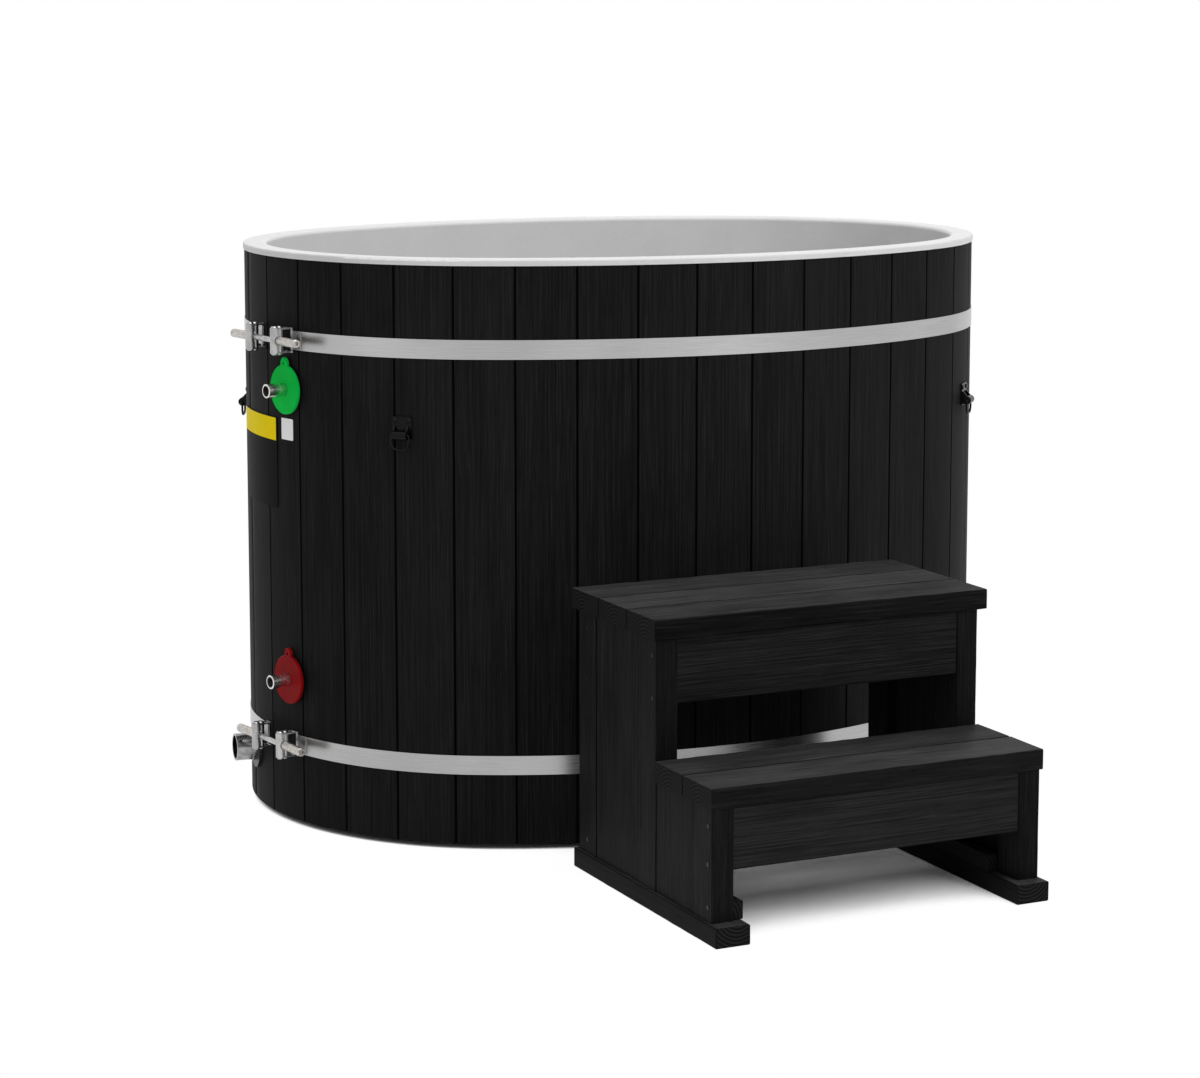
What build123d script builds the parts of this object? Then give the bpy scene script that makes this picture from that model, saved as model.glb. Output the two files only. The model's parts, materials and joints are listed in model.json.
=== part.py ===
from build123d import *
from math import atan2, cos, pi, radians, sin, sqrt
import os

# A barrel cold plunge tub with its step stool. Millimetres, +Z up.
# The origin is on the floor under the middle of the tub. X runs along the tub's
# length, and -Y is the side where the bather climbs in over the stool.

# Tub shell: a four-arc oval, measured on the outside face of the staves
half_length = 685.0
half_width = 512.0
end_radius = 455.0
tub_height = 1000.0
rim_depth = 11.0
rim_overhang = 2.0
rim_outer_round = 4.0
rim_inner_round = 7.0

# Wooden jacket
stave_count = 37
stave_thickness = 22.0
stave_floor_gap = 10.0
stave_top_gap = 0.3
seam_gap = 0.3
seam_groove = 1.8
first_seam = 38.0
croze_depth = 6.0

# Liner, insulation and base
insulation_thickness = 14.0
liner_wall = 4.0
liner_floor_round = 20.0
skid_height = 22.0
skid_width = 70.0
skid_pitch = 400.0
skid_inset = 18.0
base_board_thickness = 12.0
seat_gap = 0.3

# Hoops
hoop_width = 32.5
hoop_thickness = 1.2
upper_hoop_drop = 150.0
lower_hoop_z = 146.0
hoop_seat = 0.2
hoop_mouth = 96.0

# Hoop tensioners: the angle is counted round the end from the -X tip
tensioner_angle = 9.2
lug_spacing = 87.0
lug_standoff = 23.0
trunnion_radius = 6.4
trunnion_lobe_offset = 4.4
trunnion_height = 49.0
trunnion_edge = 1.5
strap_thickness = 1.5
strap_height = 43.0
strap_fit = 0.15
strap_window_height = 38.0
strap_hole_fit = 0.8
strap_hook_length = 4.0
strap_foot_length = 22.0
strap_foot_height = 28.0
rod_radius = 5.0
rod_bore_fit = 0.4
rod_thread_reach = 28.0
nut_radius = 7.5
nut_length = 64.0
nut_recess = 2.0
nut_running_fit = 0.06
nut_edge = 1.0
hex_key_width = 6.0
hex_key_depth = 5.0

# Water ports
port_line_angle = 13.7
port_radius = 12.0
port_neck_radius = 11.0
port_bore_radius = 9.3
port_reach = 36.0
port_collar_length = 15.0
port_collar_edge = 0.6
inlet_drop = 236.0
outlet_z = 258.0
port_hole_fit = 1.0
disc_radius = 42.5
disc_thickness = 5.0
disc_edge = 1.2
disc_bore_fit = 0.4
tab_width = 20.0
tab_rise = 13.0
tab_hole_radius = 2.2
gasket_radius = 27.0
gasket_thickness = 4.0
locknut_radius = 20.0
locknut_thickness = 9.0
locknut_fit = 0.1
inner_seal_radius = 24.0
inner_seal_thickness = 3.5
port_inner_reach = 14.0

# Drain, behind the -X tip
drain_angle = 7.0
drain_radius = 24.15
drain_bore_radius = 20.6
drain_reach = 40.0
drain_z = 105.0
drain_collar_radius = 26.0
drain_collar_length = 5.0
drain_collar_at = 6.0
drain_collar_edge = 0.8
drain_pad_radius = 38.0
drain_pad_thickness = 4.0
drain_pad_top_gap = 1.0
drain_flange_radius = 31.0
drain_flange_thickness = 6.0
drain_inner_reach = 10.0
strainer_thickness = 2.5
strainer_slots = 6
strainer_slot_width = 3.0
strainer_slot_pitch = 6.0

# Tie-down anchors for a lid
anchor_drop = 291.0
front_anchor_angle = 45.5
back_anchor_angle = 28.0
anchor_plate_width = 36.0
anchor_plate_top = 27.0
anchor_plate_bottom = -13.0
anchor_plate_thickness = 2.5
anchor_plate_round = 4.0
anchor_ear_thickness = 2.5
anchor_ear_spacing = 24.0
anchor_ear_top = 12.0
anchor_knuckle_radius = 7.5
anchor_knuckle_standoff = 11.0
anchor_knuckle_y = -4.0
bail_wire_radius = 1.9
bail_half_width = 15.6
bail_drop = 24.0
bail_bend = 12.0
bail_shoulder = 2.2
bail_pin_length = 4.5
bail_end_gap = 0.5
bail_pin_fit = 0.08
anchor_screw_radius = 4.0
anchor_screw_head = 2.0
anchor_screw_edge = 1.0
anchor_screw_x = 12.5
anchor_screw_y = 19.5

# Step stool: depths are counted from its back towards the front
stool_middle = -44.0
stool_setback = 48.0
step_thickness = 33.0
upper_step_top = 470.0
lower_step_top = 243.0
upper_step_half_width = 303.0
lower_step_half_width = 297.0
upper_step_depth = 306.0
lower_step_front = 487.0
upper_board_count = 3
lower_board_count = 2
board_gap = 1.6
board_edge_round = 2.5
side_half_width = 294.0
post_width = 38.0
rear_post_start = 10.0
rear_post_depth = 64.0
middle_post_start = 228.0
middle_post_depth = 64.0
front_post_start = 422.0
front_post_depth = 60.0
side_board_thickness = 20.0
side_board_recess = 1.0
timber_gap = 0.3
timber_edge_round = 1.5
riser_thickness = 20.0
riser_recess = 2.0
upper_riser_height = 106.0
lower_riser_height = 98.0
runner_half_width = 299.0
runner_width = 59.0
runner_height = 32.0
runner_front = 506.0
batten_width = 18.0
batten_height = 29.0
batten_back = 30.0
batten_fronts = {"left": 478.0, "right": 422.0}
cleat_height = 34.0
stool_screw_radius = 3.4
stool_screw_proud = 0.6
riser_screw_drop = 28.0
riser_screw_rise = 10.0
batten_screw_rise = 23.0

# Values that follow from the sizes above
end_centre = half_length - end_radius
side_radius = (end_centre**2 + half_width**2 - end_radius**2) / (2 * (half_width - end_radius))
side_centre = side_radius - half_width
join_angle = atan2(side_centre, end_centre)
end_run = end_radius * join_angle
side_run = side_radius * (pi - 2 * join_angle)
perimeter = 2 * (2 * end_run + side_run)
stave_pitch = perimeter / stave_count
rim_underside = tub_height - rim_depth
upper_hoop_z = tub_height - upper_hoop_drop
inlet_z = tub_height - inlet_drop
anchor_z = tub_height - anchor_drop
stool_back = -half_width - stool_setback
stave_top = rim_underside - stave_top_gap
foam_outer = -stave_thickness - seat_gap
liner_outer = -stave_thickness - insulation_thickness
liner_inner = liner_outer - liner_wall
base_board_top = skid_height + base_board_thickness
liner_bottom = base_board_top + insulation_thickness
liner_floor = liner_bottom + liner_wall
hoop_inner = hoop_seat
hoop_outer = hoop_seat + hoop_thickness
loop_inner_radius = trunnion_radius + strap_fit
loop_outer_radius = loop_inner_radius + strap_thickness
nut_start = lug_spacing / 2 + trunnion_radius - nut_recess + seat_gap
disc_face = gasket_thickness + disc_thickness
tensioner_axis = pi + radians(tensioner_angle)
port_angle = pi + radians(port_line_angle)
drain_axis = pi - radians(drain_angle)
port_heights = {"inlet": inlet_z, "outlet": outlet_z}
anchor_angles = {
    "front_left": front_anchor_angle - 180,
    "front_right": -front_anchor_angle,
    "back_right": back_anchor_angle,
    "back_left": 180 - back_anchor_angle,
}
upper_step_bottom = upper_step_top - step_thickness
lower_step_bottom = lower_step_top - step_thickness
middle_post_front = middle_post_start + middle_post_depth
front_post_front = front_post_start + front_post_depth
post_inner = side_half_width - post_width


def oval(offset):
    """The tub's plan outline, moved outwards by offset."""
    r = end_radius + offset
    big = side_radius + offset
    jx = end_centre + r * cos(join_angle)
    jy = r * sin(join_angle)
    right = ThreePointArc((jx, -jy), (end_centre + r, 0), (jx, jy))
    back = ThreePointArc((jx, jy), (0, big - side_centre), (-jx, jy))
    left = ThreePointArc((-jx, jy), (-end_centre - r, 0), (-jx, -jy))
    front = ThreePointArc((-jx, -jy), (0, side_centre - big), (jx, -jy))
    return make_face([right, back, left, front])


def oval_prism(offset, low, high):
    """The oval as a solid between two heights."""
    return extrude(Pos(0, 0, low) * oval(offset), high - low)


def normal_at(run):
    """Direction of the outward normal, in radians from +X, at a distance run
    along the stave face, counted from the tub's -X tip round by the front."""
    run = run % perimeter
    if run > perimeter / 2:
        return 4 * pi - normal_at(perimeter - run)
    if run <= end_run:
        return pi + run / end_radius
    if run <= end_run + side_run:
        return pi + join_angle + (run - end_run) / side_radius
    return 2 * pi - (perimeter / 2 - run) / end_radius


def wall_point(angle, offset=0.0):
    """Point of the stave face where the outward normal has this direction, in
    radians from +X, moved outwards by offset."""
    c = cos(angle)
    s = sin(angle)
    if abs(c) >= cos(join_angle):
        side = 1 if c > 0 else -1
        r = end_radius + offset
        return Vector(side * end_centre + r * c, r * s, 0)
    side = 1 if s > 0 else -1
    big = side_radius + offset
    return Vector(big * c, big * s - side * side_centre, 0)


def wall_plane(angle, height, offset=0.0):
    """Plane standing on the wall: its normal points outwards, its x runs along
    the wall towards the front at the tub's -X end, and its y points up."""
    outward = Vector(cos(angle), sin(angle), 0)
    along = Vector(-sin(angle), cos(angle), 0)
    origin = wall_point(angle, offset) + Vector(0, 0, height)
    return Plane(origin=origin, x_dir=along, z_dir=outward)


def wall_arcs(start, end, offset):
    """Arcs that follow the stave face between two runs at an offset."""
    joins = [end_run, end_run + side_run, end_run + side_run + 2 * end_run, perimeter - end_run]
    stops = [start] + sorted(j for j in joins if start < j < end) + [end]
    arcs = []
    for a, b in zip(stops, stops[1:]):
        ends = [wall_point(normal_at(run), offset) for run in (a, (a + b) / 2, b)]
        arcs.append(ThreePointArc(*ends))
    return arcs


def stave_profile(start, end):
    """Section of one stave: an arc outside and inside, its long edges
    bevelled so that two neighbours leave a V groove."""
    a = start + seam_gap / 2
    b = end - seam_gap / 2

    def at(run, offset):
        return wall_point(normal_at(run), offset)

    outer = wall_arcs(a + seam_groove, b - seam_groove, 0.0)
    inner = wall_arcs(a, b, -stave_thickness)
    edges = outer + inner
    for run, inward in ((a, 1), (b, -1)):
        edges.append(Line(at(run + inward * seam_groove, 0.0), at(run, -seam_groove)))
        edges.append(Line(at(run, -seam_groove), at(run, -stave_thickness)))
    return make_face(edges)


def wall_cutter(angle, height, radius):
    """Straight hole through the whole wall, square to it."""
    depth = stave_thickness + insulation_thickness + liner_wall
    return extrude(wall_plane(angle, height) * Circle(radius), 2 * depth, both=True)


def wall_holes(fit):
    """Every hole through the wall, wider than its pipe by fit all round."""
    holes = [wall_cutter(port_angle, z, port_neck_radius + fit) for z in port_heights.values()]
    return holes + [wall_cutter(drain_axis, drain_z, drain_radius + fit)]


def make_staves():
    """Staves in four named groups, from the -X tip round by the front."""
    croze = oval_prism(croze_depth - stave_thickness, skid_height - seat_gap, base_board_top + seat_gap)
    holes = wall_holes(port_hole_fit)
    hole_reach = drain_radius + port_hole_fit
    hole_runs = [end_radius * (port_angle - pi), perimeter + end_radius * (drain_axis - pi)]
    groups = {"left_end_staves": [], "front_staves": [], "right_end_staves": [], "back_staves": []}
    names = list(groups)
    for i in range(stave_count):
        start = (first_seam + i * stave_pitch) % perimeter
        end = start + stave_pitch
        stave = extrude(Pos(0, 0, stave_floor_gap) * stave_profile(start, end), stave_top - stave_floor_gap)
        stave -= croze
        offsets = [(run - start) % perimeter for run in hole_runs]
        if any(run < stave_pitch + hole_reach or run > perimeter - hole_reach for run in offsets):
            for hole in holes:
                stave -= hole
        middle = ((start + end) / 2) % perimeter
        marks = (end_run, end_run + side_run, perimeter - end_run - side_run, perimeter - end_run)
        name = names[0]
        for mark, label in zip(marks, names[1:] + names[:1]):
            if middle >= mark:
                name = label
        groups[name] += stave.solids()
    return {name: Compound(children=solids) for name, solids in groups.items()}


def oval_edges(shape, height, offset):
    """The edges of a shape that follow the oval at one height and offset."""
    radii = [round(r + offset, 2) for r in (end_radius, side_radius)]
    arcs = shape.edges().filter_by(GeomType.CIRCLE).filter_by_position(Axis.Z, height, height)
    return [e for e in arcs if round(e.radius, 2) in radii]


def make_liner():
    """Moulded liner: floor, wall and the rim that caps the staves."""
    liner = oval_prism(rim_overhang, rim_underside, tub_height)
    liner += oval_prism(liner_outer, liner_bottom, tub_height)
    liner -= oval_prism(liner_inner, liner_floor, 2 * tub_height)
    liner = fillet(oval_edges(liner, tub_height, rim_overhang), rim_outer_round)
    liner = fillet(oval_edges(liner, tub_height, liner_inner), rim_inner_round)
    liner = fillet(oval_edges(liner, liner_floor, liner_inner), liner_floor_round)
    liner = fillet(oval_edges(liner, liner_bottom, liner_outer), liner_floor_round + liner_wall)
    for hole in wall_holes(seat_gap):
        liner -= hole
    return liner


def make_insulation():
    """Foam that fills the space between the liner and the staves."""
    foam = oval_prism(foam_outer, base_board_top, rim_underside)
    foam -= oval_prism(liner_outer, liner_bottom, tub_height)
    for hole in wall_holes(port_hole_fit):
        foam -= hole
    return foam


def make_base():
    """Base board seated in the staves' croze, and the skids under it."""
    board = oval_prism(croze_depth - stave_thickness - seat_gap, skid_height, base_board_top)
    inside = oval_prism(-stave_thickness - skid_inset, 0, skid_height)
    skids = []
    for i in (-1, 0, 1):
        bar = Pos(i * skid_pitch, 0, skid_height / 2) * Box(skid_width, 3 * half_width, skid_height)
        skids += (bar & inside).solids()
    return board, Compound(children=skids)


def make_hoop(height):
    """Flat steel band, open at the tensioner."""
    low = height - hoop_width / 2
    band = oval_prism(hoop_outer, low, low + hoop_width)
    band -= oval_prism(hoop_inner, 0, tub_height)
    return band - wall_plane(tensioner_axis, height) * Box(hoop_mouth, 2 * hoop_width, lug_standoff)


def plan_plane(angle, height):
    """Level plane at the wall: x along it, y outwards."""
    along = Vector(-sin(angle), cos(angle), 0)
    origin = wall_point(angle) + Vector(0, 0, height)
    return Plane(origin=origin, x_dir=along, z_dir=(0, 0, -1))


def loop_outline(radius, centre, crown, foot):
    """Face with a round top on two straight legs."""
    legs = Pos(centre, (crown + foot) / 2) * Rectangle(2 * radius, crown - foot)
    return legs + Pos(centre, crown) * Circle(radius)


def lug_box(side, start, end, height):
    """Block on the wall at one lug, between two distances from the lug's
    middle, counted away from the hoop's mouth. It reaches out to the rod."""
    middle = side * (lug_spacing + start + end) / 2
    return Pos(middle, 0, 0) * Box(end - start, height, 2 * lug_standoff)


def make_lug_strap(height, side):
    """Folded strap that ties one hoop end to its trunnion: a loop of sheet
    over the trunnion, windowed down to two thin bands beside the rod, and a
    hooked foot on the hoop."""
    wall = wall_plane(tensioner_axis, height)
    centre = side * lug_spacing / 2
    crown = lug_standoff + trunnion_lobe_offset
    loop = loop_outline(loop_outer_radius, centre, crown, -lug_standoff)
    loop -= loop_outline(loop_inner_radius, centre, crown, -2 * lug_standoff)
    strap = extrude(plan_plane(tensioner_axis, height) * loop, strap_height / 2, both=True)
    hook_end = loop_outer_radius + strap_hook_length
    foot = lug_box(side, -loop_outer_radius, hook_end, strap_height)
    foot += lug_box(side, hook_end, hook_end + strap_foot_length, strap_foot_height)
    seat = hoop_outer + strap_fit
    strap += wall * foot & oval_prism(seat + strap_thickness, 0, tub_height)
    strap -= oval_prism(seat, 0, tub_height)
    strap -= wall * lug_box(side, -2 * loop_outer_radius, loop_outer_radius, strap_window_height)
    nut_hole = Rot(0, 90, 0) * Cylinder(nut_radius + strap_hole_fit, 4 * loop_outer_radius)
    return strap - wall * Pos(centre, 0, lug_standoff) * nut_hole


def make_trunnion(height, side):
    """Upright two-lobed bar that the strap folds over, cross-drilled for the
    rod and spot-faced for the nut."""
    lobe = Cylinder(trunnion_radius, trunnion_height)
    lobe = Rot(90, 0, 0) * chamfer(lobe.edges().filter_by(GeomType.CIRCLE), trunnion_edge)
    bar = Pos(0, 0, -trunnion_lobe_offset) * lobe + Pos(0, 0, trunnion_lobe_offset) * lobe
    bar -= Rot(0, 90, 0) * Cylinder(rod_radius + rod_bore_fit, 4 * trunnion_radius)
    seat = Rot(0, 90, 0) * Cylinder(nut_radius + rod_bore_fit, trunnion_radius)
    bar -= Pos(side * (1.5 * trunnion_radius - nut_recess), 0, 0) * seat
    return wall_plane(tensioner_axis, height) * Pos(side * lug_spacing / 2, 0, lug_standoff) * bar


def make_tension_rod(height):
    """Threaded rod between the two nuts."""
    rod = Rot(0, 90, 0) * Cylinder(rod_radius, 2 * (nut_start + rod_thread_reach))
    return wall_plane(tensioner_axis, height) * Pos(0, 0, lug_standoff) * rod


def make_tension_nut(height, side):
    """Long sleeve nut with a hex socket in its outer end."""
    nut = Cylinder(nut_radius, nut_length)
    nut = chamfer(nut.edges().filter_by(GeomType.CIRCLE), nut_edge)
    bore_depth = rod_thread_reach + rod_radius
    bore = Cylinder(rod_radius + nut_running_fit, bore_depth)
    nut -= Pos(0, 0, (bore_depth - nut_length) / 2) * bore
    socket = extrude(RegularPolygon(hex_key_width / 2, 6, major_radius=False), hex_key_depth)
    nut -= Pos(0, 0, nut_length / 2 - hex_key_depth) * socket
    place = Pos(side * (nut_start + nut_length / 2), 0, lug_standoff)
    return wall_plane(tensioner_axis, height) * place * Rot(0, side * 90, 0) * nut


def axial(low, high, radius, bore=0.0):
    """Round bar or tube along z between two levels."""
    bar = Pos(0, 0, (low + high) / 2) * Cylinder(radius, high - low)
    if bore:
        bar -= Pos(0, 0, (low + high) / 2) * Cylinder(bore, 2 * (high - low))
    return bar


def make_port(height):
    """One water port: nipple, tagged disc, wall gasket, inner seal, locknut."""
    wall = wall_plane(port_angle, height)
    tip = disc_face + port_reach
    nipple = axial(liner_inner - port_inner_reach, tip, port_neck_radius)
    collar = axial(tip - port_collar_length, tip, port_radius)
    nipple += chamfer(collar.edges().filter_by(GeomType.CIRCLE), port_collar_edge)
    nipple -= axial(2 * liner_inner, 2 * tip, port_bore_radius)
    disc = axial(gasket_thickness, disc_face, disc_radius)
    tab = Pos(0, disc_radius, gasket_thickness) * extrude(tab_outline(), disc_thickness)
    disc += tab
    disc = chamfer(disc.faces().sort_by(Axis.Z)[-1].edges(), disc_edge)
    disc -= axial(0, 2 * disc_face, port_neck_radius + disc_bore_fit)
    tab_hole = Cylinder(tab_hole_radius, 4 * disc_thickness)
    disc -= Pos(0, disc_radius + tab_rise - tab_width / 2, disc_face) * tab_hole
    gasket = axial(-gasket_thickness, gasket_thickness, gasket_radius, port_neck_radius + seat_gap)
    gasket = wall * gasket - oval_prism(seat_gap, 0, tub_height)
    seal_face = liner_inner - inner_seal_thickness
    seal = axial(seal_face, 0, inner_seal_radius, port_neck_radius + seat_gap)
    seal = wall * seal & oval_prism(liner_inner - seat_gap, 0, tub_height)
    locknut = extrude(RegularPolygon(locknut_radius, 6), locknut_thickness)
    locknut -= axial(-locknut_thickness, 2 * locknut_thickness, port_neck_radius + locknut_fit)
    locknut = wall * Pos(0, 0, seal_face - locknut_thickness) * locknut
    return {
        "nipple": wall * nipple,
        "disc": wall * disc,
        "gasket": gasket,
        "seal": seal,
        "locknut": locknut,
    }


def tab_outline():
    """Hanging tab of a port disc: a round-topped tongue."""
    r = tab_width / 2
    top = tab_rise - r
    tongue = Pos(0, (top - r) / 2) * Rectangle(tab_width, top + r)
    return tongue + Pos(0, top) * Circle(r)


def make_drain():
    """Drain: pipe with a collar, wall pad, inner flange and strainer."""
    wall = wall_plane(drain_axis, drain_z)
    pipe = axial(liner_inner - drain_inner_reach, drain_reach, drain_radius)
    collar = axial(drain_collar_at, drain_collar_at + drain_collar_length, drain_collar_radius)
    pipe += chamfer(collar.edges().filter_by(GeomType.CIRCLE), drain_collar_edge)
    pipe -= axial(2 * liner_inner, 2 * drain_reach, drain_bore_radius)
    pad = axial(-drain_pad_thickness, drain_pad_thickness, drain_pad_radius, drain_radius + seat_gap)
    hoop_bottom = lower_hoop_z - hoop_width / 2 - drain_pad_top_gap - drain_z
    over_pad = Box(3 * drain_pad_radius, 2 * drain_pad_radius, 3 * drain_pad_thickness)
    pad -= Pos(0, hoop_bottom + drain_pad_radius, 0) * over_pad
    pad = wall * pad - oval_prism(seat_gap, 0, tub_height)
    flange_face = liner_inner - drain_flange_thickness
    flange = axial(flange_face, 0, drain_flange_radius, drain_radius + locknut_fit)
    flange = wall * flange & oval_prism(liner_inner - seat_gap, 0, tub_height)
    end = liner_inner - drain_inner_reach
    strainer = axial(end, end + strainer_thickness, drain_bore_radius - seat_gap)
    for i in range(strainer_slots):
        y = (i - (strainer_slots - 1) / 2) * strainer_slot_pitch
        half = sqrt(drain_bore_radius**2 - y**2) - strainer_slot_width
        slot = SlotOverall(2 * half, strainer_slot_width)
        strainer -= extrude(Pos(0, y, end) * slot, 2 * strainer_thickness, both=True)
    return wall * pipe, pad, flange, wall * strainer


def make_anchor_base():
    """Anchor casting in its own frame: plate, two ears and a knuckle drum,
    bored for the bail's pins. The wall is at z = 0."""
    height = anchor_plate_top - anchor_plate_bottom
    plate = Box(anchor_plate_width, height, anchor_plate_thickness)
    plate = fillet(plate.edges().filter_by(Axis.Z), anchor_plate_round)
    lift = seat_gap + anchor_plate_thickness / 2
    base = Pos(0, (anchor_plate_top + anchor_plate_bottom) / 2, lift) * plate
    floor = seat_gap + anchor_plate_thickness / 2
    drum_z = anchor_knuckle_standoff
    ear_points = [
        (floor, anchor_ear_top),
        (floor + anchor_plate_thickness, anchor_ear_top),
        (drum_z + anchor_knuckle_radius, anchor_knuckle_y),
        (drum_z, anchor_knuckle_y - anchor_knuckle_radius),
        (floor, anchor_plate_bottom + anchor_plate_thickness),
    ]
    ear = make_face(Polyline(*ear_points, close=True))
    ear += Pos(drum_z, anchor_knuckle_y) * Circle(anchor_knuckle_radius)
    side_plane = Plane(origin=(0, 0, 0), x_dir=(0, 0, 1), z_dir=(-1, 0, 0))
    for side in (-1, 1):
        x = side * anchor_ear_spacing / 2
        base += Pos(x, 0, 0) * extrude(side_plane * ear, anchor_ear_thickness / 2, both=True)
    drum = Rot(0, 90, 0) * Cylinder(anchor_knuckle_radius, anchor_ear_spacing)
    base += Pos(0, anchor_knuckle_y, drum_z) * drum
    pin = Rot(0, 90, 0) * Cylinder(bail_wire_radius + bail_pin_fit, 2 * bail_pin_length)
    for side in (-1, 1):
        base -= Pos(side * (bail_half_width - bail_end_gap), anchor_knuckle_y, drum_z) * pin
    return base


def make_bail():
    """Wire bail in its anchor's frame: a U whose ends turn in as pins."""
    inner_end = bail_half_width - bail_pin_length
    points = [(inner_end, 0), (bail_half_width, 0), (bail_half_width, -bail_drop)]
    mirrored = [(-x, y) for x, y in reversed(points)]
    radii = [bail_shoulder, bail_bend, bail_bend, bail_shoulder]
    path = FilletPolyline(*(points + mirrored), radius=radii)
    start = Plane(origin=(inner_end, 0, 0), z_dir=(1, 0, 0))
    wire = sweep(start * Circle(bail_wire_radius), path=path)
    return Pos(0, anchor_knuckle_y, anchor_knuckle_standoff) * wire


def make_anchor_screws():
    """Two domed screw heads on an anchor's plate, with their shanks."""
    screws = []
    top = seat_gap + anchor_plate_thickness
    for side in (-1, 1):
        head = axial(top, top + anchor_screw_head, anchor_screw_radius)
        head = chamfer(head.edges().sort_by(Axis.Z)[-1], anchor_screw_edge)
        screws.append(Pos(side * anchor_screw_x, anchor_screw_y, 0) * head)
    return screws


def timber(x_range, depth_range, z_range, rounding, axis):
    """Squared timber between limits, its long edges eased. Depth is counted
    from the stool's back towards the front."""
    sizes = [high - low for low, high in (x_range, depth_range, z_range)]
    bar = Box(*sizes)
    if rounding:
        bar = fillet(bar.edges().filter_by(axis), rounding)
    x = stool_middle + sum(x_range) / 2
    y = stool_back - sum(depth_range) / 2
    return Pos(x, y, sum(z_range) / 2) * bar


def make_step_boards(half_width, start, front, top, count):
    """Boards of one tread, side by side."""
    depth = (front - start - (count - 1) * board_gap) / count
    boards = []
    for i in range(count):
        low = start + i * (depth + board_gap)
        z_range = (top - step_thickness, top)
        x_range = (-half_width, half_width)
        boards.append(timber(x_range, (low, low + depth), z_range, board_edge_round, Axis.X))
    return boards


def make_risers():
    """Boards set between the posts under the front of each tread."""
    x_range = (timber_gap - post_inner, post_inner - timber_gap)
    risers = []
    for front, under, height in ((middle_post_front, upper_step_bottom, upper_riser_height),
                                 (front_post_front, lower_step_bottom, lower_riser_height)):
        face = front - riser_recess
        top = under - timber_gap
        depth_range = (face - riser_thickness, face)
        risers.append(timber(x_range, depth_range, (top - height, top), timber_edge_round, Axis.X))
    return risers


def mirrored(side, inner, outer):
    """X limits of a piece on one side, given its distances from the middle."""
    return (inner, outer) if side > 0 else (-outer, -inner)


def make_stool_side(side, batten_front):
    """One side frame: three posts, two side boards, a runner and battens."""
    outer = mirrored(side, post_inner, side_half_width)
    foot = runner_height + timber_gap
    tall = upper_step_bottom - timber_gap
    short = lower_step_bottom - timber_gap

    def post(start, depth, top):
        return timber(outer, (start, start + depth), (foot, top), timber_edge_round, Axis.Z)

    face = side_half_width - side_board_recess
    board_x = mirrored(side, face - side_board_thickness, face)
    rear_bay = (rear_post_start + rear_post_depth + timber_gap, middle_post_start - timber_gap)
    front_bay = (middle_post_front + timber_gap, front_post_start - timber_gap)
    boards = [timber(board_x, rear_bay, (foot, tall), timber_edge_round, Axis.Z),
              timber(board_x, front_bay, (foot, short), timber_edge_round, Axis.Z)]
    runner_x = mirrored(side, runner_half_width - runner_width, runner_half_width)
    runner = timber(runner_x, (0, runner_front), (0, runner_height), board_edge_round, Axis.Y)
    batten_outer = post_inner - timber_gap
    batten_x = mirrored(side, batten_outer - batten_width, batten_outer)
    batten_z = (foot, foot + batten_height)
    cleat_outer = face - side_board_thickness - timber_gap
    cleat_x = mirrored(side, cleat_outer - batten_width + side_board_recess, cleat_outer)
    cleats = [timber(batten_x, (batten_back, batten_front), batten_z, timber_edge_round, Axis.Y),
              timber(cleat_x, rear_bay, (tall - cleat_height, tall), 0, Axis.Y),
              timber(cleat_x, front_bay, (short - cleat_height, short), 0, Axis.Y)]
    return {
        "rear_post": post(rear_post_start, rear_post_depth, tall),
        "middle_post": post(middle_post_start, middle_post_depth, tall),
        "front_post": post(front_post_start, front_post_depth, short),
        "side_boards": Compound(children=[solid for b in boards for solid in b.solids()]),
        "runner": runner,
        "battens": Compound(children=[solid for c in cleats for solid in c.solids()]),
    }


def make_stool_screws():
    """Screw heads on the outer faces of the posts, where they hold the risers
    and the lower batten."""
    upper, lower = ((step_bottom - riser_screw_drop, step_bottom - riser_height + riser_screw_rise)
                    for step_bottom, riser_height in ((upper_step_bottom, upper_riser_height),
                                                      (lower_step_bottom, lower_riser_height)))
    low = runner_height + batten_screw_rise
    rows = {
        rear_post_start + rear_post_depth / 2: (upper[0], upper[1] - cleat_height / 2, low),
        middle_post_front - riser_recess - riser_thickness / 2: upper,
        front_post_front - riser_recess - riser_thickness / 2: (*lower, low),
    }
    screws = []
    for side in (-1, 1):
        for depth, heights in rows.items():
            for z in heights:
                head = Rot(0, side * 90, 0) * axial(0, stool_screw_proud, stool_screw_radius)
                place = Pos(stool_middle + side * side_half_width, stool_back - depth, z)
                screws += (place * head).solids()
    return Compound(children=screws)


def tub_nodes():
    nodes = {"liner": make_liner(), "insulation": make_insulation()}
    nodes["base_board"], nodes["base_skids"] = make_base()
    nodes.update(make_staves())
    for level, height in (("upper", upper_hoop_z), ("lower", lower_hoop_z)):
        nodes[f"{level}_hoop"] = make_hoop(height)
        straps = []
        trunnions = []
        for end, side in (("rear", -1), ("front", 1)):
            straps += make_lug_strap(height, side).solids()
            trunnions += make_trunnion(height, side).solids()
            nodes[f"{level}_{end}_tension_nut"] = make_tension_nut(height, side)
        nodes[f"{level}_lug_straps"] = Compound(children=straps)
        nodes[f"{level}_trunnions"] = Compound(children=trunnions)
        nodes[f"{level}_tension_rod"] = make_tension_rod(height)
    for port, height in port_heights.items():
        for piece, solid in make_port(height).items():
            nodes[f"{port}_{piece}"] = solid
    drain = make_drain()
    for name, solid in zip(("drain_pipe", "drain_wall_pad", "drain_flange", "drain_strainer"), drain):
        nodes[name] = solid
    return nodes


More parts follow.
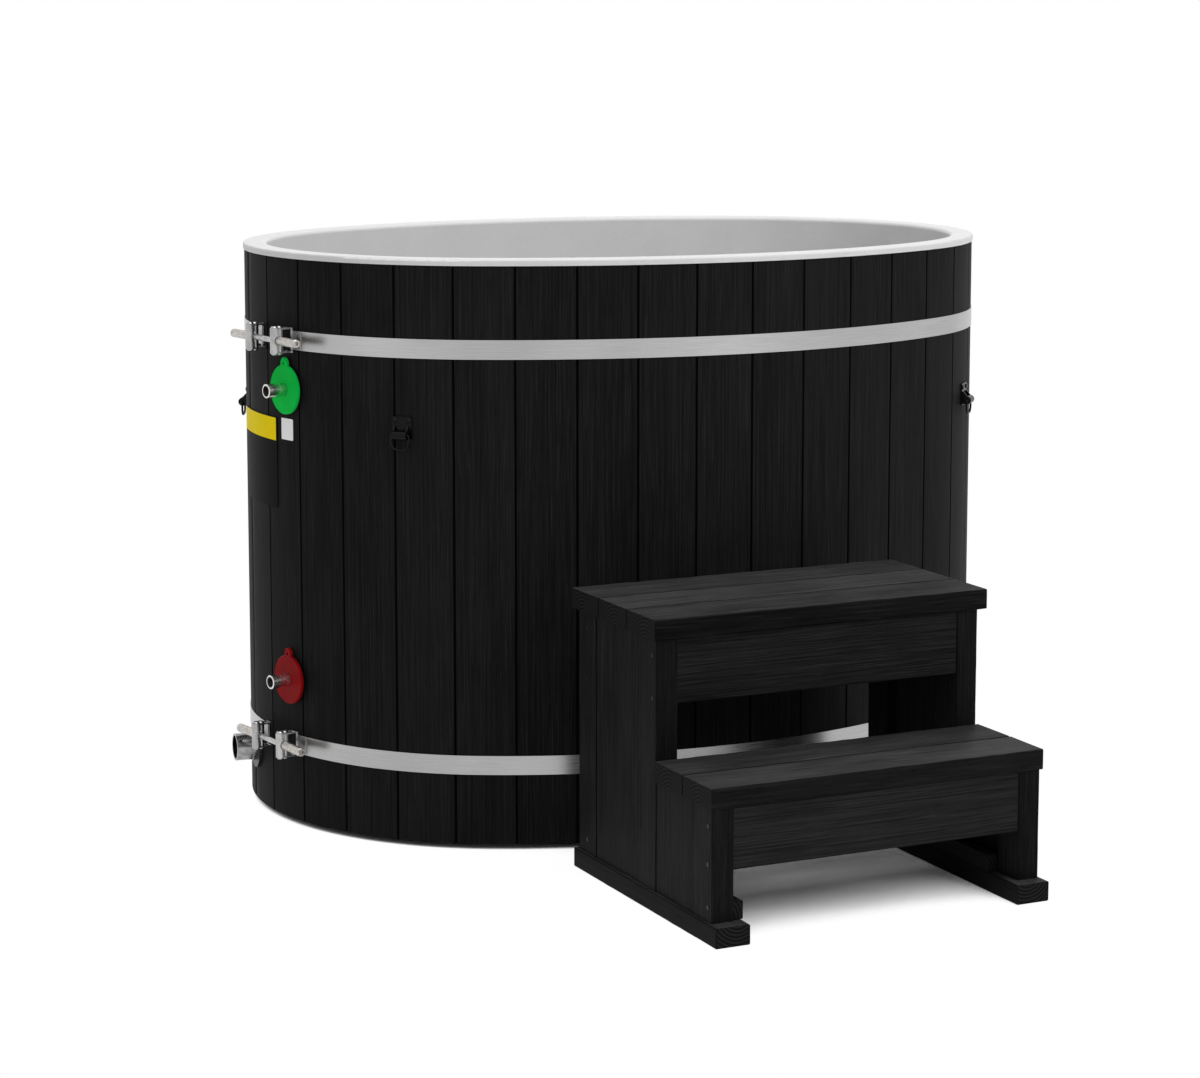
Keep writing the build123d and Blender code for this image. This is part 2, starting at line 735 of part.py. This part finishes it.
def anchor_nodes():
    base = make_anchor_base()
    bail = make_bail()
    screws = make_anchor_screws()
    bases = []
    heads = []
    nodes = {}
    for corner, angle in anchor_angles.items():
        wall = wall_plane(radians(angle), anchor_z)
        bases += (wall * base).solids()
        heads += [solid for s in screws for solid in (wall * s).solids()]
        nodes[f"{corner}_anchor_bail"] = wall * bail
    nodes["anchor_bases"] = Compound(children=bases)
    nodes["anchor_screws"] = Compound(children=heads)
    return nodes


def stool_nodes():
    lower_start = middle_post_front + timber_gap
    upper = make_step_boards(upper_step_half_width, 0, upper_step_depth, upper_step_top, upper_board_count)
    lower = make_step_boards(lower_step_half_width, lower_start, lower_step_front, lower_step_top,
                             lower_board_count)
    nodes = {f"upper_step_board_{i + 1}": board for i, board in enumerate(upper)}
    nodes.update({f"lower_step_board_{i + 1}": board for i, board in enumerate(lower)})
    nodes["upper_riser"], nodes["lower_riser"] = make_risers()
    for name, side in (("left", -1), ("right", 1)):
        for piece, solid in make_stool_side(side, batten_fronts[name]).items():
            nodes[f"stool_{name}_{piece}"] = solid
    nodes["stool_screws"] = make_stool_screws()
    return nodes


if __name__ == "__main__":
    os.makedirs("parts", exist_ok=True)
    everything = {**tub_nodes(), **anchor_nodes(), **stool_nodes()}
    for name, shape in everything.items():
        export_step(shape, f"parts/{name}.step")
    print(len(everything), "nodes")
    print("tub outside", 2 * half_length, "x", 2 * half_width, "x", tub_height, "mm")
    print("stave width", round(stave_pitch, 1), "mm, drain axis", drain_z, "mm above the floor")
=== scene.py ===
# %% [markdown]
# The tub arrives as a imported model, one mesh for each piece of the real object.
# Loading it first gives every later cell a fixed frame in metres, so a new piece goes where its measured place is.

# %% Load the tub and its step stool
import json
import math
import random

import bmesh
import bpy
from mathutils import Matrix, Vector, noise


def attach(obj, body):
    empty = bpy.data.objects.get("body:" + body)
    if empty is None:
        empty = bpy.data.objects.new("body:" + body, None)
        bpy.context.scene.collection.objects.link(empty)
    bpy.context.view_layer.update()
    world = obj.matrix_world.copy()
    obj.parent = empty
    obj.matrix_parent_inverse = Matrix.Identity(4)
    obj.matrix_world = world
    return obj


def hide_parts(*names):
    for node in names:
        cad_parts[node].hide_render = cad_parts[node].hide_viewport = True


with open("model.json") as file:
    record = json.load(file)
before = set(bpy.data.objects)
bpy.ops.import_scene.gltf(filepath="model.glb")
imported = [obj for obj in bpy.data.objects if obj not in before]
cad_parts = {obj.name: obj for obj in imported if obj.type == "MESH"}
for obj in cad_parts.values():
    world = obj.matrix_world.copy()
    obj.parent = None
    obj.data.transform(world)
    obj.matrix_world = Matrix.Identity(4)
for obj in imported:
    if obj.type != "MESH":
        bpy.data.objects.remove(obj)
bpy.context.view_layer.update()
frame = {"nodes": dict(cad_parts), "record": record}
MM = 0.001

# %% [markdown]
# A finish is a small graph of nodes, and maths in a graph is hard to read as a drawing.
# One class wraps a socket, so that sums of masks are written as sums, and one method makes every other node.
# Colours go through a Mix node, because a Math node would turn them grey.

# %% Shader sums written as Python


class Wire:
    """One output of a node, which can be added, multiplied and so on."""

    def __init__(self, recipe, socket):
        self.recipe = recipe
        self.socket = socket

    def sum(self, operation, first, second=0.0):
        return self.recipe.make("Math", {"operation": operation}, {0: first, 1: second})

    def __add__(self, other):
        return self.sum("ADD", self, other)

    __radd__ = __add__

    def __sub__(self, other):
        return self.sum("SUBTRACT", self, other)

    def __rsub__(self, other):
        return self.sum("SUBTRACT", other, self)

    def __mul__(self, other):
        return self.sum("MULTIPLY", self, other)

    __rmul__ = __mul__

    def __abs__(self):
        return self.sum("ABSOLUTE", self)

    def rise(self, low, high):
        """0 at low, 1 at high with an eased slope between, and held there outside them."""
        settings = {"interpolation_type": "SMOOTHSTEP"}
        return self.recipe.make("MapRange", settings, {"Value": self, "From Min": low, "From Max": high})

    def parts(self):
        """The three numbers of a vector."""
        first = self.recipe.make("SeparateXYZ", {}, {"Vector": self})
        return [Wire(self.recipe, socket) for socket in first.socket.node.outputs]


class Recipe:
    """A material with its shader, and the one way in which its nodes are made."""

    def __init__(self, name, **constants):
        self.material = bpy.data.materials.new(name)
        self.material.use_nodes = True
        self.tree = self.material.node_tree
        self.shader = self.tree.nodes["Principled BSDF"]
        self.feed(**constants)

    def make(self, kind, settings, values, out=0):
        node = self.tree.nodes.new("ShaderNode" + kind)
        for name, value in settings.items():
            setattr(node, name, value)
        for name, value in values.items():
            if isinstance(value, Wire):
                self.tree.links.new(value.socket, node.inputs[name])
            else:
                node.inputs[name].default_value = value
        return Wire(self, node.outputs[out])

    def feed(self, **values):
        """Sets or links sockets of the shader; base_color names the socket Base Color."""
        for name, value in values.items():
            socket = self.shader.inputs[name.replace("_", " ").title().replace("Ior", "IOR")]
            if isinstance(value, Wire):
                self.tree.links.new(value.socket, socket)
            else:
                socket.default_value = value

    def where(self):
        """Points on the piece, in metres."""
        return self.make("TexCoord", {}, {}, "Object")

    def facing(self):
        """The direction that the surface faces."""
        return self.make("TexCoord", {}, {}, "Normal")

    def carried(self, name):
        """A vector that each vertex of the piece carries."""
        return self.make("Attribute", {"attribute_name": name}, {}, "Vector")

    def stretch(self, start, scale, shift=(0.0, 0.0, 0.0)):
        return self.make("Mapping", {}, {"Vector": start, "Scale": scale, "Location": shift})

    def speckle(self, start, scale, detail=4.0, roughness=0.5, distortion=0.0):
        values = {"Vector": start, "Scale": scale, "Detail": detail, "Roughness": roughness}
        return self.make("TexNoise", {}, {**values, "Distortion": distortion})

    def blend(self, factor, first, second):
        return self.make("Mix", {"data_type": "RGBA"}, {0: factor, 6: first, 7: second}, 2)

    def relief(self, height, depth, strength=1.0):
        values = {"Height": height, "Distance": depth, "Strength": strength}
        self.feed(normal=self.make("Bump", {}, values))


def grey(level, warmth=0.0):
    """A colour from a screen grey of 0 to 255, as the shader counts it."""
    share = level / 255
    linear = share / 12.92 if share <= 0.04045 else ((share + 0.055) / 1.055) ** 2.4
    return (linear * (1 + warmth), linear, linear * (1 - warmth), 1.0)


print("a mid grey of 128 is", round(grey(128)[0], 3), "to the shader")

# %% [markdown]
# The staves and the stool are softwood under a black stain. The stain sinks in more between the growth rings,
# so the grain shows as faint streaks a few millimetres wide, and paler brushed fibres, along each board.
# Each board carries its own grain coordinates, along, across and into the board, and a seeded shift.
# One recipe then serves every board, whichever way it lies, and no two boards match.
# A board's sawn end shows its growth rings. The tops of the steps are made paler, partly as wear, which is a guess,
# and partly as painted light for the stronger light that falls on upward faces. A narrow dark line beside the edges
# of boards and staves is partly the stain that gathers in seams, also a guess, and partly painted shade in the seams.
# Each noise below is stretched by so many cycles for a metre along, across and into the board.

# %% Stained softwood
STREAKS = (4, 330, 170)
BANDS = (1.5, 42, 30)
CLOUDS = (7, 13, 13)
PORES = (34, 800, 400)
FIBRES = (9, 560, 300)
RING_MIDDLE = (0, -0.012, 0.035)
RINGS_PER_METRE = 52.0
# Stain and painted shade in the seams: how far it reaches from an edge, where it is full, and its colour.
SEAM_REACH = 2.4 * MM
SEAM_FULL = 0.6 * SEAM_REACH
SEAM_STAIN_AND_SHADE = grey(2)


def stained_wood(name, dark, light, top_wear_and_light, sheen, seam_stain_and_shade_depth):
    wood = Recipe(name, specular_ior_level=sheen)
    grain = wood.carried("grain")
    board = wood.carried("board")
    streaks = wood.speckle(wood.stretch(grain, STREAKS, board), 1.0, 5.0, 0.66, 0.15)
    bands = wood.speckle(wood.stretch(grain, BANDS, board), 1.0, 3.0, 0.55, 0.3)
    clouds = wood.speckle(wood.stretch(grain, CLOUDS, board), 1.0, 3.0, 0.5)
    pores = wood.speckle(wood.stretch(grain, PORES, board), 1.0, 2.0, 0.5).rise(0.6, 0.72)
    fibres = wood.speckle(wood.stretch(grain, FIBRES, board), 1.0, 2.0, 0.5).rise(0.55, 0.7)
    tone = board.parts()[2]
    light_share = 0.4 + 2.0 * (streaks - 0.5) + 0.35 * (bands - 0.5) + 0.45 * (clouds - 0.5) + 0.22 * (tone - 0.5)
    light_share = light_share + 0.6 * fibres - 0.3 * pores
    colour = wood.blend(light_share, grey(dark), grey(light))
    ring_start = wood.make(
        "VectorMath", {"operation": "MULTIPLY_ADD"}, {0: board, 1: (0, 0.0009, 0.0004), 2: grain})
    ring_start = wood.stretch(ring_start, (1, 1, 1), RING_MIDDLE)
    ring_values = {"Scale": RINGS_PER_METRE, "Distortion": 1.6, "Detail": 2.0, "Detail Scale": 0.5}
    rings = wood.make(
        "TexWave", {"wave_type": "RINGS", "rings_direction": "X"}, {"Vector": ring_start, **ring_values})
    ring_mark = wood.make("Math", {"operation": "POWER"}, {0: rings, 1: 2.0})
    facing = wood.facing()
    end_dot = wood.make(
        "VectorMath", {"operation": "DOT_PRODUCT"}, {0: facing, 1: wood.carried("along")}, "Value")
    sawn = abs(end_dot).rise(0.6, 0.8)
    end_colour = wood.blend(ring_mark * 0.75 + 0.25 * streaks, grey(dark - 3), grey(light - 4))
    colour = wood.blend(sawn, colour, end_colour)
    # Upward faces are painted paler: partly wear and partly painted light for the stronger light on tops.
    if top_wear_and_light:
        worn_and_lit_top = facing.parts()[2].rise(0.75, 0.97)
        pale = wood.blend(light_share, grey(dark + top_wear_and_light), grey(light + top_wear_and_light * 1.9))
        colour = wood.blend(worn_and_lit_top * (0.82 + 0.6 * (clouds - 0.5)), colour, pale)
    # The dark line along the edges is partly stain and partly painted shade in the seams.
    past_edge = abs(grain.parts()[1]) - wood.carried("edge").parts()[0]
    seam_stain_and_shade = past_edge.rise(-SEAM_REACH, -SEAM_FULL)
    wood.feed(base_color=wood.blend(seam_stain_and_shade * seam_stain_and_shade_depth, colour, SEAM_STAIN_AND_SHADE))
    wood.feed(roughness=0.52 + 0.25 * (streaks - 0.4) + 0.1 * pores)
    wood.relief(streaks * 0.6 + bands * 0.3 - pores * 0.5 + ring_mark * sawn * 0.4, 0.0005, 0.5)
    return wood.material


stave_wood = stained_wood("stained stave wood", 15, 36, 0, 0.025, 0.92)
stool_wood = stained_wood("stained stool wood", 12, 43, 17, 0.03, 0.5)
print("two stains made")

# %% [markdown]
# The hoops are thin stainless band with the long scratches of a brushing wheel, and faint patches from handling.
# The bright and dark lengths that polished band shows are reflections, so none is painted here:
# they come from the shader and the lamps, and move as they should when the light or the view changes.

# %% Hoop steel
BRUSH_MARKS = (16, 16, 1100)

hoop = Recipe("brushed hoop steel", metallic=1.0)
scratches = hoop.speckle(hoop.stretch(hoop.where(), BRUSH_MARKS), 1.0, 3.0, 0.6)
handled = hoop.speckle(hoop.where(), 5.0, 2.0, 0.5)
shade = 0.5 + 0.6 * (scratches - 0.5) + 0.5 * (handled - 0.5)
hoop.feed(base_color=hoop.blend(shade, grey(138), grey(200)), roughness=0.2 + 0.18 * scratches)
hoop.relief(scratches, 0.00006, 0.4)
hoop_steel = hoop.material
print("hoop steel made")

# %% [markdown]
# Pressed and turned parts get a rougher steel. Stretched noise gives the tool marks, and rounder noise gives
# the spots of handling. Six finishes differ only in their numbers, and the drain is duller than the ports.

# %% Other steels


def steel(name, dark, light, rough, marks, spots, warmth=0.0):
    metal = Recipe(name, metallic=1.0)
    scratches = metal.speckle(metal.stretch(metal.where(), marks), 1.0, 3.0, 0.6)
    patches = metal.speckle(metal.where(), spots, 4.0, 0.6)
    mask = scratches.rise(0.3, 0.7) * 0.45 + patches.rise(0.35, 0.7) * 0.55
    metal.feed(base_color=metal.blend(mask, grey(dark, warmth), grey(light, warmth)))
    metal.feed(roughness=rough + 0.18 * (scratches - 0.5) + 0.12 * (patches - 0.5))
    metal.relief(scratches, 0.00008, 0.4)
    return metal.material


lug_steel = steel("pressed lug steel", 150, 196, 0.3, (120, 120, 30), 60.0)
nut_steel = steel("tarnished nut steel", 158, 206, 0.36, (300, 300, 300), 150.0, 0.06)
rod_steel = steel("bright rod steel", 150, 200, 0.24, (500, 500, 500), 80.0)
fitting_steel = steel("turned fitting steel", 190, 240, 0.24, (600, 40, 40), 60.0, 0.02)
drain_steel = steel("drawn drain steel", 112, 168, 0.18, (40, 600, 40), 30.0)
screw_steel = steel("dull screw steel", 34, 56, 0.4, (300, 300, 300), 200.0)
print("six more steels made")

# %% [markdown]
# The port discs are moulded in a strong colour, the seals are rubber, the anchors are black coated steel
# and the liner is a pale satin plastic. None is a flat colour: a broad and a close noise vary each skin a little,
# and the close one gives it a faint relief.

# %% Enamel, rubber, coating, plastic and foam


def plain(name, low, high, rough, scale, depth, **constants):
    skin = Recipe(name, **constants)
    broad = skin.speckle(skin.where(), scale * 0.08, 3.0, 0.5)
    close = skin.speckle(skin.where(), scale, 4.0, 0.6)
    mask = broad.rise(0.3, 0.7) * 0.6 + close.rise(0.3, 0.7) * 0.4
    skin.feed(base_color=skin.blend(mask, low, high))
    skin.feed(roughness=rough + 0.14 * close)
    skin.relief(close, depth, 0.35)
    return skin.material


green_enamel = plain("green enamel", (0.001, 0.48, 0.05, 1), (0.001, 0.58, 0.075, 1), 0.34, 400, 0.00008,
                     specular_ior_level=0.03)
red_enamel = plain("red enamel", (0.2, 0.001, 0.002, 1), (0.27, 0.003, 0.004, 1), 0.3, 400, 0.00008,
                   specular_ior_level=0.04)
rubber_seal = plain("seal rubber", grey(14), grey(24), 0.3, 300, 0.0001, specular_ior_level=0.3)
black_hardware = plain("black coated steel", grey(5), grey(12), 0.16, 500, 0.00006, specular_ior_level=0.12)
liner_shell = plain("liner plastic", grey(212), grey(218), 0.34, 160, 0.00006, specular_ior_level=0.2)
foam = plain("cut foam", (0.62, 0.5, 0.25, 1), (0.74, 0.63, 0.38, 1), 0.8, 300, 0.0006)
base_timber = plain("raw base timber", (0.03, 0.02, 0.013, 1), (0.06, 0.042, 0.028, 1), 0.6, 90, 0.0004)
print("seven plain skins made")

# %% [markdown]
# The record names a finish for each piece, so the pieces whose CAD shape is already right only take
# a better material in the same slot.

# %% Dress the pieces that keep their shape
FINISHES = {
    "base_timber": base_timber,
    "liner_shell": liner_shell,
    "foam": foam,
    "hoop_steel": hoop_steel,
    "lug_steel": lug_steel,
    "nut_steel": nut_steel,
    "rod_steel": rod_steel,
    "fitting_steel": fitting_steel,
    "green_enamel": green_enamel,
    "red_enamel": red_enamel,
    "rubber_seal": rubber_seal,
    "black_hardware": black_hardware,
    "screw_steel": screw_steel,
    "stained_staves": stave_wood,
    "stool_timber": stool_wood,
}
slot_of = {}
for name, piece in sorted(frame["nodes"].items()):
    slot_of[name] = piece.material_slots[0].material.name.split(".")[0]
    piece.material_slots[0].material = drain_steel if name.startswith("drain_pipe") else FINISHES[slot_of[name]]
body_of = {node: body for body, nodes in frame["record"]["behaviour"]["bodies"].items() for node in nodes}
print(len(slot_of), "pieces dressed in", len(set(slot_of.values())), "finishes")

# %% [markdown]
# A board needs to know which way its grain runs. A copy of each wooden piece is merged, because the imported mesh
# is loose triangles, and then taken board by board. The longest side of a board's box is its length, and the widest
# spread across that is its width. Each vertex keeps its distance along, across and into the board,
# with a seeded shift for each board, so that the stain never repeats.
# Blender's noise starts from the clock unless it gets a seed, and a set of faces comes in a new order each run.
# So the noise is seeded and faces are listed in dictionaries, which makes the same boards every time.

# %% Tools for boards
SEED = 37
chance = random.Random(SEED)
noise.seed_set(SEED)


def boards_in(body):
    """The joined faces of a mesh, one group for each board."""
    unseen = dict.fromkeys(body.faces)
    groups = []
    while unseen:
        group = [unseen.popitem()[0]]
        for face in group:
            for edge in face.edges:
                for other in edge.link_faces:
                    if other in unseen:
                        del unseen[other]
                        group.append(other)
        groups.append(group)
    return sorted(groups, key=lambda group: min(face.calc_center_median().to_tuple(4) for face in group))


def board_axes(points):
    """Middle, half width, and the length, width and thickness directions of a board."""
    spans = [max(p[i] for p in points) - min(p[i] for p in points) for i in range(3)]
    long_axis = spans.index(max(spans))
    first, second = [i for i in range(3) if i != long_axis]
    mean = sum(points, Vector()) / len(points)
    xx = sum((p[first] - mean[first]) ** 2 for p in points)
    yy = sum((p[second] - mean[second]) ** 2 for p in points)
    xy = sum((p[first] - mean[first]) * (p[second] - mean[second]) for p in points)
    # A straight board's xy is nearly 0. Rounding stops its last digit from turning the axes about,
    # and adding 0.0 clears a minus zero, which would do the same.
    turn = 0.5 * math.atan2(round(2 * xy, 7) + 0.0, xx - yy)
    along = Vector([float(i == long_axis) for i in range(3)])
    across = Vector((0, 0, 0))
    across[first] = math.cos(turn)
    across[second] = math.sin(turn)
    into = along.cross(across)
    limits = [(min(p.dot(axis) for p in points), max(p.dot(axis) for p in points)) for axis in (along, across, into)]
    middle = sum((axis * sum(limit) / 2 for axis, limit in zip((along, across, into), limits)), Vector())
    return middle, (limits[1][1] - limits[1][0]) / 2, along, across, into


def show_mesh(name, body, material, rides, replaced=()):
    """Turns a bmesh into a piece of the object that rides on its body."""
    mesh = bpy.data.meshes.new(name)
    body.to_mesh(mesh)
    body.free()
    mesh.polygons.foreach_set("use_smooth", [True] * len(mesh.polygons))
    mesh.set_sharp_from_angle(angle=math.radians(32))
    mesh.materials.append(material)
    piece = bpy.data.objects.new(name, mesh)
    bpy.context.collection.objects.link(piece)
    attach(piece, rides)
    if replaced:
        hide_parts(*replaced)
    return piece


print("tools ready")

# %% [markdown]
# A sawn and brushed board is never dead straight. Cutting it into short slices gives it points to move,
# and a little smooth noise then leaves its long edges slightly uneven, as on the real steps.
# No point may sink below the floor, so the runners still stand flat.

# %% Cut the boards from their nodes
SLICE = 12 * MM
TREAD_WOBBLE = 0.6 * MM
TIMBER_WOBBLE = 0.35 * MM
SLOW_WAVE = 30
QUICK_WAVE = 90


def board_piece(name, wobble):
    """A wooden node as boards with grain and slightly uneven edges."""
    body = bmesh.new()
    body.from_mesh(frame["nodes"][name].data)
    bmesh.ops.remove_doubles(body, verts=body.verts, dist=0.01 * MM)
    bmesh.ops.dissolve_limit(body, angle_limit=math.radians(0.5), verts=body.verts, edges=body.edges)
    layers = {key: body.verts.layers.float_vector.new(key) for key in ("grain", "board", "along", "edge")}
    for group in boards_in(body):
        verts = list(dict.fromkeys(v for face in group for v in face.verts))
        middle, half_width, along, across, into = board_axes([v.co for v in verts])
        kept = Vector((chance.uniform(0, 40), chance.uniform(0, 40), chance.random()))
        if wobble:
            faces = dict.fromkeys(f for v in verts for f in v.link_faces)
            geom = [*faces, *dict.fromkeys(e for f in faces for e in f.edges), *verts]
            reach = [(v.co - middle).dot(along) for v in verts]
            cuts = int((max(reach) - min(reach)) / SLICE)
            for i in range(1, cuts):
                level = min(reach) + (max(reach) - min(reach)) * i / cuts
                cut = bmesh.ops.bisect_plane(body, geom=geom, plane_co=middle + along * level, plane_no=along)
                geom = cut["geom"]
            verts = [g for g in geom if isinstance(g, bmesh.types.BMVert) and g.is_valid]
        for v in verts:
            if wobble:
                push = noise.noise_vector(v.co * SLOW_WAVE) + 0.6 * noise.noise_vector(v.co * QUICK_WAVE)
                v.co += wobble * (push - along * push.dot(along))
                v.co.z = max(v.co.z, 0.0)
            local = v.co - middle
            v[layers["grain"]] = Vector((local.dot(along), local.dot(across), local.dot(into)))
            v[layers["board"]] = kept
            v[layers["along"]] = along
            v[layers["edge"]] = Vector((half_width, 0, 0))
    return show_mesh(name + "_wood", body, FINISHES[slot_of[name]], body_of[name], [name])


staves = [name for name in slot_of if slot_of[name] == "stained_staves"]
timbers = [name for name in slot_of if slot_of[name] == "stool_timber"]
for name in staves:
    board_piece(name, 0)
for name in timbers:
    board_piece(name, TREAD_WOBBLE if "step_board" in name else TIMBER_WOBBLE)
print(len(staves), "groups of staves and", len(timbers), "stool pieces carry grain")

# %% [markdown]
# Two thin plates are fixed to the wall beside the ports. Both are left bare. Each follows the curve of the wall,
# so it is one upright edge spun about the axis of the rounded end, with its corners rounded and then thickened.

# %% Bare plates on the wall
END_CENTRE = Vector((-0.23, 0, 0))
END_RADIUS = 0.455


def wall_sheet(name, first, last, low, high, lift, thickness, corner, material):
    """A thin sheet on the rounded end, between two angles in degrees from -X towards the front."""
    body = bmesh.new()
    radius = END_RADIUS + lift
    start = math.radians(first)
    at = END_CENTRE + Vector((-radius * math.cos(start), -radius * math.sin(start), 0))
    bottom = body.verts.new(at + Vector((0, 0, low)))
    top = body.verts.new(at + Vector((0, 0, high)))
    edge = body.edges.new((bottom, top))
    bmesh.ops.spin(
        body, geom=[edge, bottom, top], cent=END_CENTRE, axis=(0, 0, 1), angle=math.radians(last - first), steps=16)
    bmesh.ops.remove_doubles(body, verts=body.verts, dist=0.01 * MM)
    corners = [v for v in body.verts if len(v.link_edges) == 2]
    bmesh.ops.bevel(
        body, geom=corners, offset=corner, segments=5, profile=0.5, affect="VERTICES", material=-1)
    bmesh.ops.recalc_face_normals(body, faces=body.faces)
    face = next(iter(body.faces))
    if face.normal.dot(face.calc_center_median() - END_CENTRE) < 0:
        bmesh.ops.reverse_faces(body, faces=body.faces)
    bmesh.ops.solidify(body, geom=body.faces, thickness=-thickness)
    bmesh.ops.recalc_face_normals(body, faces=body.faces)
    return show_mesh(name, body, material, "tub")


plate_black = plain("plate black", grey(3), grey(7), 0.4, 220, 0.00005, specular_ior_level=0.02)
plate_yellow = plain("plate yellow", (0.9, 0.68, 0.0, 1), (0.96, 0.76, 0.0, 1), 0.4, 220, 0.00005,
                     specular_ior_level=0.02)
plate_white = plain("plate white", grey(246), grey(252), 0.4, 220, 0.00005, specular_ior_level=0.1)
wall_sheet("bare_plate", -14, 9, 0.553, 0.712, 0.4 * MM, 0.8 * MM, 4 * MM, plate_black)
wall_sheet("bare_plate_header", -13.6, 8.6, 0.671, 0.7105, 1.2 * MM, 0.3 * MM, 1 * MM, plate_yellow)
wall_sheet("bare_tag", 11, 15.5, 0.676, 0.713, 0.4 * MM, 0.5 * MM, 2 * MM, plate_white)
print("plates made")

# %% [markdown]
# The floor is plain and white, and lit like the object. Open floor is a page that only the camera, mirror-like metal
# and clear things see, at a strength of 1, which is white. Where something stands close above the floor, the page
# gives way to the lit floor, so the shadow there stays real and soft, and goes along when the steps are moved.
# The world does the same, so there is no horizon, and steel reflects the page.

# %% Floor and world
SHADOW_REACH = 0.6
PAGE_STARTS = 0.09
PAGE_WHOLE = 0.42
FLOOR_REACH = 14
WORLD_LIGHT = 0.4
PAGE_LIGHT = 1.0
WHITE = (1, 1, 1, 1)


def page_rays(recipe):
    """1 for rays from the camera, and for those that reach the page by a mirror or through glass."""
    path = recipe.make("LightPath", {}, {}).socket.node
    seen, mirrored, clear = (
        Wire(recipe, path.outputs[name]) for name in ("Is Camera Ray", "Is Glossy Ray", "Is Transmission Ray"))
    return (seen + mirrored + clear).rise(0, 1)


floor_look = Recipe("page floor", base_color=grey(251), roughness=0.9, specular_ior_level=0.0)
open_share = floor_look.make("AmbientOcclusion", {"samples": 16}, {"Distance": SHADOW_REACH}, "AO")
page_share = page_rays(floor_look) * open_share.rise(PAGE_STARTS, PAGE_WHOLE)
page = floor_look.make("Emission", {}, {"Color": WHITE, "Strength": PAGE_LIGHT})
lit = Wire(floor_look, floor_look.shader.outputs["BSDF"])
mixed = floor_look.make("MixShader", {}, {0: page_share, 1: lit, 2: page})
floor_look.tree.links.new(mixed.socket, floor_look.tree.nodes["Material Output"].inputs["Surface"])

body = bmesh.new()
bmesh.ops.create_grid(body, x_segments=1, y_segments=1, size=FLOOR_REACH)
floor_mesh = bpy.data.meshes.new("floor")
body.to_mesh(floor_mesh)
body.free()
floor_mesh.materials.append(floor_look.material)
floor = bpy.data.objects.new("floor", floor_mesh)
bpy.context.collection.objects.link(floor)

world = bpy.data.worlds.new("page")
bpy.context.scene.world = world
world.use_nodes = True
sky = world.node_tree
path = sky.nodes.new("ShaderNodeLightPath")
mirrored, clear = (sky.nodes.new("ShaderNodeMath") for _ in range(2))
mirrored.operation = clear.operation = "MAXIMUM"
backdrop = sky.nodes["Background"]
backdrop.inputs["Color"].default_value = WHITE
strength = sky.nodes.new("ShaderNodeMapRange")
strength.inputs["To Min"].default_value = WORLD_LIGHT
strength.inputs["To Max"].default_value = PAGE_LIGHT
sky.links.new(path.outputs["Is Camera Ray"], mirrored.inputs[0])
sky.links.new(path.outputs["Is Glossy Ray"], mirrored.inputs[1])
sky.links.new(mirrored.outputs["Value"], clear.inputs[0])
sky.links.new(path.outputs["Is Transmission Ray"], clear.inputs[1])
sky.links.new(clear.outputs["Value"], strength.inputs["Value"])
sky.links.new(strength.outputs["Result"], backdrop.inputs["Strength"])
print("page made")

# %% [markdown]
# Soft light comes from large lamps that stand well back, so that the rim and the floor get about the same.
# The largest hangs above, one stands in front and to the right, and a very weak one stands on the left.
# Together they keep pale surfaces, such as the rim, short of clipping to white.

# %% Lamps


def lamp(name, place, aim, size, power):
    light = bpy.data.lights.new(name, "AREA")
    light.shape = "RECTANGLE"
    light.size, light.size_y = size
    light.energy = power
    holder = bpy.data.objects.new(name, light)
    holder.location = place
    holder.rotation_mode = "QUATERNION"
    holder.rotation_quaternion = (Vector(aim) - Vector(place)).to_track_quat("-Z", "Y")
    bpy.context.collection.objects.link(holder)
    return holder


middle = (0, -0.1, 0.5)
lamp("top", (0.3, -0.6, 6.5), middle, (5.0, 5.0), 260)
lamp("front", (2.4, -6.0, 3.4), middle, (3.0, 2.4), 110)
lamp("left", (-6.0, -2.0, 2.4), middle, (2.4, 2.0), 4)
print("three lamps")

# %% [markdown]
# The camera stands where the photograph was taken from: in front, to the left of the steps, a little above the rim.
# A small shift keeps the uprights close to upright, as they are in the photograph.

# %% Camera
view = bpy.data.cameras.new("camera")
view.sensor_width = 36
view.lens = 91.381
view.shift_y = -0.10
view.clip_end = 60
camera = bpy.data.objects.new("camera", view)
camera.location = (-2.41637, -5.01373, 1.39902)
camera.rotation_euler = (math.pi / 2 - 0.13177, 0, -0.44442)
bpy.context.collection.objects.link(camera)
bpy.context.scene.camera = camera
bpy.context.scene.view_settings.view_transform = "Standard"
print("camera set")
